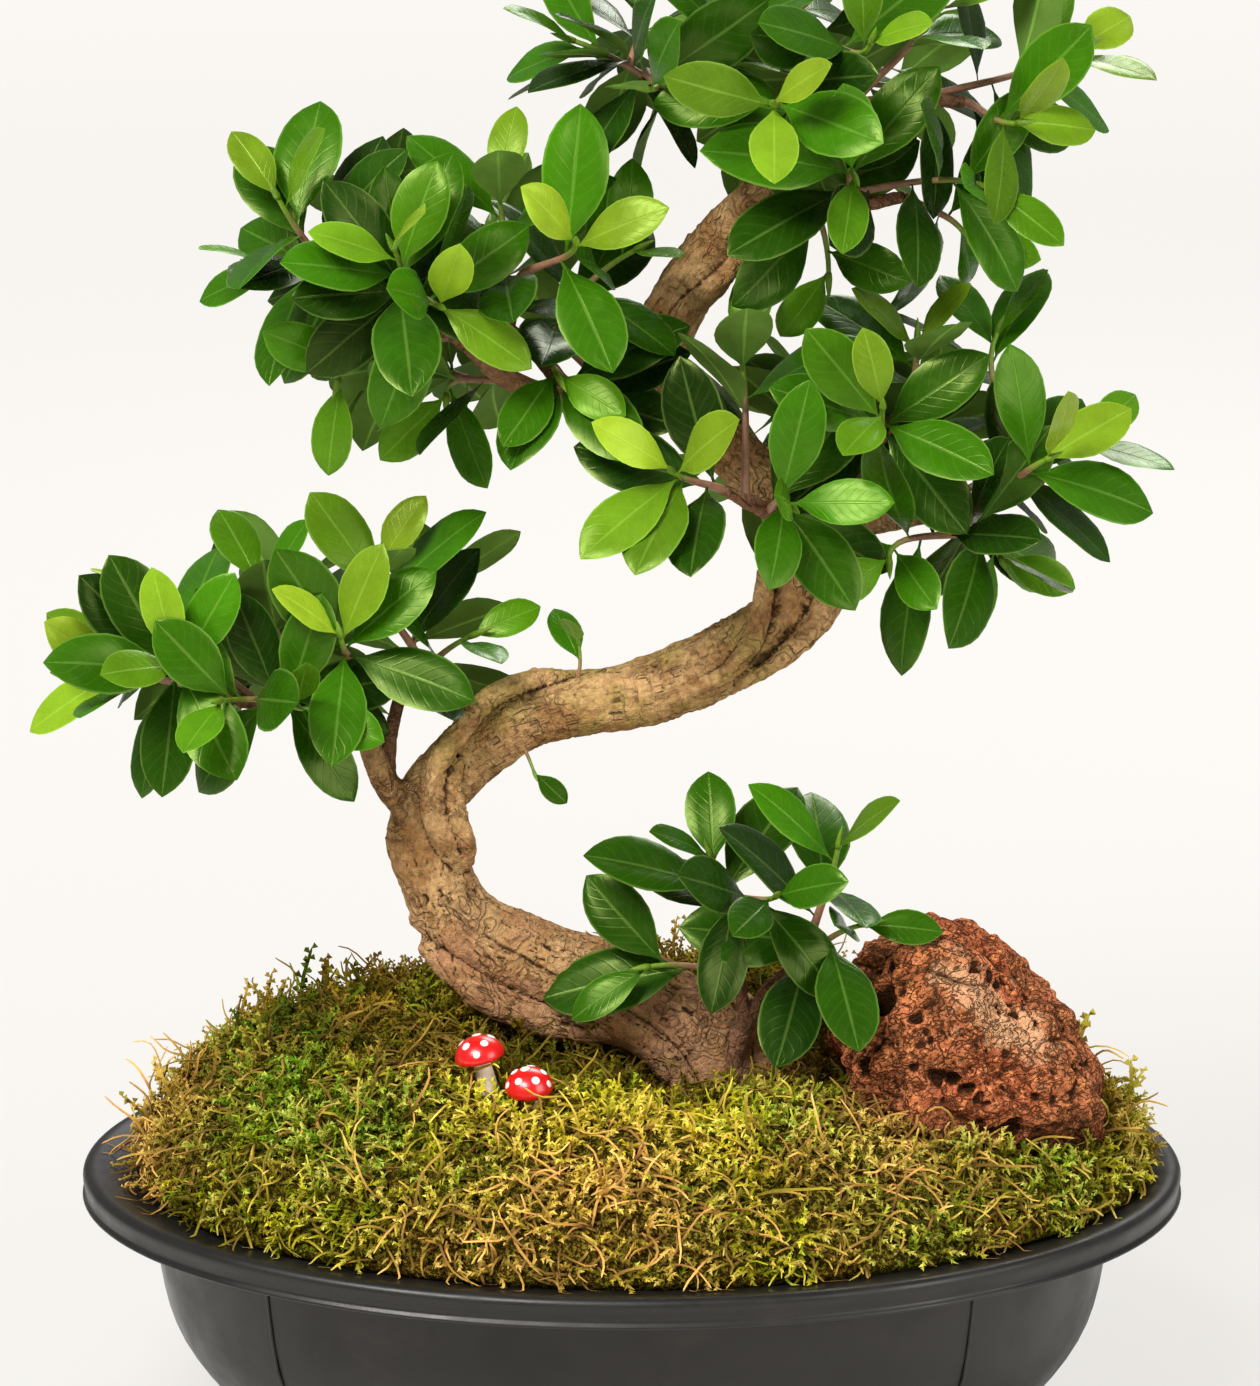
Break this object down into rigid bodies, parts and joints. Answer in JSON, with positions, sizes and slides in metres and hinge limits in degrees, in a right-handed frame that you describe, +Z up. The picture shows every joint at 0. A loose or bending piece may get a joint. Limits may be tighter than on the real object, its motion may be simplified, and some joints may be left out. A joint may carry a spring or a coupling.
{
  "type": "ficus bonsai",
  "caption": "S-shaped fig tree with leafy pads and a basal shoot, in a moss-covered oval bowl with a lava rock and two toadstool picks.",
  "frame": {"origin": "centre of the bowl's flat foot, on the surface that it stands on", "axes": "+Z up along the tree's height, +X to the right along the bowl's length, -Y towards the viewer, the side that the basal shoot and the toadstools are on"},
  "size_m": [0.4797, 0.357, 0.6511],
  "materials": {
    "pot": "black moulded plastic, satin",
    "soil": "dark peaty potting soil, matt",
    "moss": "living and dried moss, matt",
    "lava_rock": "porous rust-brown scoria, matt",
    "toadstool_cap": "glossy red paint with raised white dots",
    "toadstool_stem": "white paint, satin",
    "bark": "tan-brown fissured bark, matt",
    "leaf": "glossy green leaves on young green stems"
  },
  "bodies": {
    "root": {"lava_rock": "lava_rock", "leafy_spray_basal_1": "leaf", "leafy_spray_basal_2": "leaf", "leafy_spray_basal_3": "leaf", "leafy_spray_basal_4": "leaf", "leafy_spray_crown_1": "leaf", "leafy_spray_crown_10": "leaf", "leafy_spray_crown_11": "leaf", "leafy_spray_crown_12": "leaf", "leafy_spray_crown_13": "leaf", "leafy_spray_crown_2": "leaf", "leafy_spray_crown_3": "leaf", "leafy_spray_crown_4": "leaf", "leafy_spray_crown_5": "leaf", "leafy_spray_crown_6": "leaf", "leafy_spray_crown_7": "leaf", "leafy_spray_crown_8": "leaf", "leafy_spray_crown_9": "leaf", "leafy_spray_lower_left_1": "leaf", "leafy_spray_lower_left_10": "leaf", "leafy_spray_lower_left_2": "leaf", "leafy_spray_lower_left_3": "leaf", "leafy_spray_lower_left_4": "leaf", "leafy_spray_lower_left_5": "leaf", "leafy_spray_lower_left_6": "leaf", "leafy_spray_lower_left_7": "leaf", "leafy_spray_lower_left_8": "leaf", "leafy_spray_lower_left_9": "leaf", "leafy_spray_middle_left_1": "leaf", "leafy_spray_middle_left_10": "leaf", "leafy_spray_middle_left_11": "leaf", "leafy_spray_middle_left_2": "leaf", "leafy_spray_middle_left_3": "leaf", "leafy_spray_middle_left_4": "leaf", "leafy_spray_middle_left_5": "leaf", "leafy_spray_middle_left_6": "leaf", "leafy_spray_middle_left_7": "leaf", "leafy_spray_middle_left_8": "leaf", "leafy_spray_middle_left_9": "leaf", "leafy_spray_middle_right_1": "leaf", "leafy_spray_middle_right_10": "leaf", "leafy_spray_middle_right_11": "leaf", "leafy_spray_middle_right_2": "leaf", "leafy_spray_middle_right_3": "leaf", "leafy_spray_middle_right_4": "leaf", "leafy_spray_middle_right_5": "leaf", "leafy_spray_middle_right_6": "leaf", "leafy_spray_middle_right_7": "leaf", "leafy_spray_middle_right_8": "leaf", "leafy_spray_middle_right_9": "leaf", "leafy_spray_trunk_1": "leaf", "leafy_spray_trunk_2": "leaf", "moss": "moss", "pot": "pot", "soil": "soil", "toadstool_cap_1": "toadstool_cap", "toadstool_cap_2": "toadstool_cap", "toadstool_stem_1": "toadstool_stem", "toadstool_stem_2": "toadstool_stem", "trunk": "bark"}
  },
  "joints": []
}
